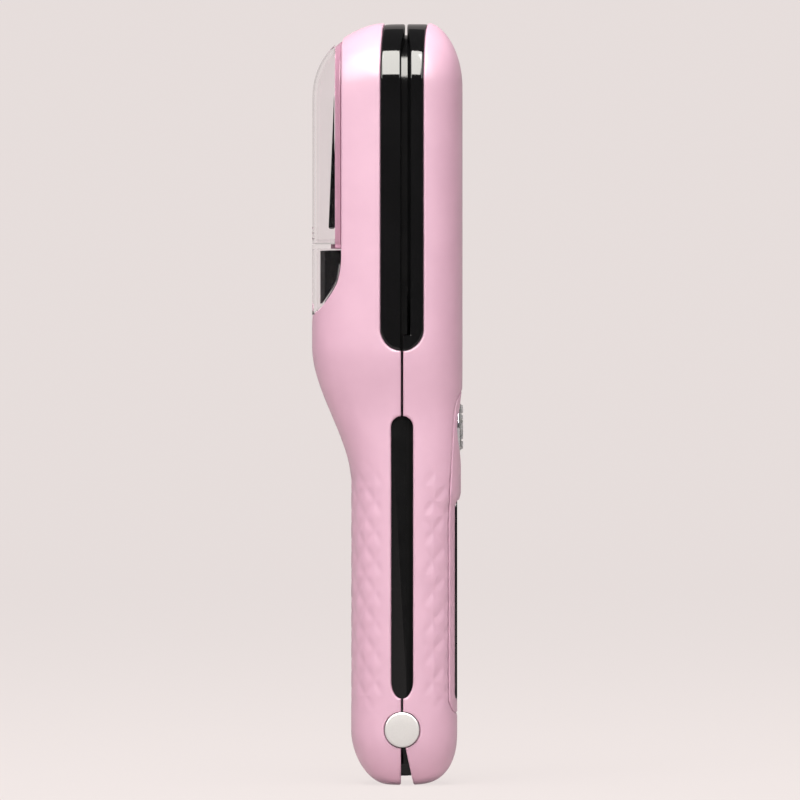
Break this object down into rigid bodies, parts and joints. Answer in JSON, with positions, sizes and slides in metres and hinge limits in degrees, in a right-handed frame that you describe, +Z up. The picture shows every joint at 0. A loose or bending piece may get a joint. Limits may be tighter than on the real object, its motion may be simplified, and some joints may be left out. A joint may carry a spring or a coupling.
{
  "type": "split end hair trimmer",
  "caption": "Handheld split end trimmer: two long hinged arms, a bladed rotor behind a comb, a clear hair chamber, a spring-backed pressure plate, a crystal button and a display strip.",
  "frame": {"origin": "centre of the overall box at its bottom: the trimmer stands upright on its hinged tail end", "axes": "+Z up along the arms from the hinged tail to the head; +X from the cutter arm with the hair chamber to the press arm with the button; +Y across the body, along the hinge pin; the seam between the arms lies at X = 4.85 mm"},
  "size_m": [0.049, 0.04, 0.245],
  "materials": {
    "pink_paint": "pearl pink lacquer on moulded plastic, satin gloss",
    "gloss_black": "piano black",
    "soft_black": "fine matt",
    "clear_plastic": "clear moulded plastic",
    "blade_steel": "ground",
    "screw_steel": "zinc plated",
    "chrome": "polished",
    "satin_silver": "spun satin",
    "brass": "turned",
    "gear_plastic": "natural acetal",
    "rubber": "matt silicone",
    "crystal": "cut crystal",
    "board": "green solder mask",
    "wire": "red insulation",
    "cell_wrap": "shrink sleeve",
    "display_body": "moulded"
  },
  "bodies": {
    "cutter_arm": {"cutter_arm_shell": "pink_paint", "cutter_arm_frame": "soft_black", "cutter_trim": "gloss_black", "chamber_bezel": "pink_paint", "chamber_floor": "soft_black", "lower_window": "clear_plastic", "catch_block": "gloss_black", "comb_plate": "blade_steel", "fixed_blades": "blade_steel", "cutter_housing": "gloss_black", "upper_bearing": "brass", "lower_bearing": "brass", "motor_can": "screw_steel", "motor_mount": "screw_steel", "battery_cell": "cell_wrap", "battery_contacts": "screw_steel", "motor_leads": "wire", "cutter_arm_screws": "screw_steel", "housing_screws": "screw_steel", "motor_mount_screws": "screw_steel", "hinge_pin": "blade_steel", "pivot_caps": "satin_silver", "wave_washers": "blade_steel"},
    "press_arm": {"press_arm_shell": "pink_paint", "press_arm_frame": "soft_black", "press_trim": "gloss_black", "hinge_bushes": "brass", "control_panel": "pink_paint", "display_lens": "gloss_black", "display_module": "display_body", "display_gasket": "rubber", "main_board": "board", "board_screws": "screw_steel", "tact_switch": "display_body", "button_ring": "chrome", "usb_port": "screw_steel", "usb_board": "board", "usb_screws": "screw_steel", "spring_plate": "screw_steel", "spring_plate_screws": "screw_steel", "plate_springs": "blade_steel", "press_arm_screws": "screw_steel", "board_leads": "wire"},
    "pressure_plate": {"pressure_plate": "soft_black", "pressure_pad": "rubber"},
    "cutter": {"cutter_rotor": "blade_steel", "cutter_gear": "gear_plastic"},
    "motor_rotor": {"motor_shaft": "blade_steel", "motor_pinion": "brass"},
    "power_button": {"power_button": "chrome", "button_crystals": "crystal"},
    "hair_chamber": {"hair_chamber": "clear_plastic"}
  },
  "joints": [
    {"name": "arm_hinge", "type": "hinge", "parent": "cutter_arm", "child": "press_arm", "pos_m": [0.00485, 0, 0.018], "axis": [0, 1, 0], "range_deg": [0, 11]},
    {"name": "plate_travel", "type": "slide", "parent": "press_arm", "child": "pressure_plate", "axis": [1, 0, 0], "range_m": [0, 0.0012], "stiffness_N_per_m": 900, "springref_m": -0.001, "deforming": ["plate_springs"]},
    {"name": "cutter_spin", "type": "hinge", "parent": "cutter_arm", "child": "cutter", "pos_m": [0.00055, 0, 0.189], "axis": [0, 0, 1], "continuous": true},
    {"name": "motor_spin", "type": "hinge", "parent": "cutter_arm", "child": "motor_rotor", "pos_m": [-0.00648, 0, 0.144], "axis": [0, 0, 1], "continuous": true},
    {"name": "button_press", "type": "slide", "parent": "press_arm", "child": "power_button", "axis": [-1, 0, 0], "range_m": [0, 0.0008], "stiffness_N_per_m": 900, "springref_m": -0.0004},
    {"name": "chamber_slide", "type": "slide", "parent": "cutter_arm", "child": "hair_chamber", "axis": [-1, 0, 0], "range_m": [0, 0.02]}
  ],
  "couplings": [
    {"joint": "motor_spin", "follows": "cutter_spin", "ratio": -1.8}
  ]
}
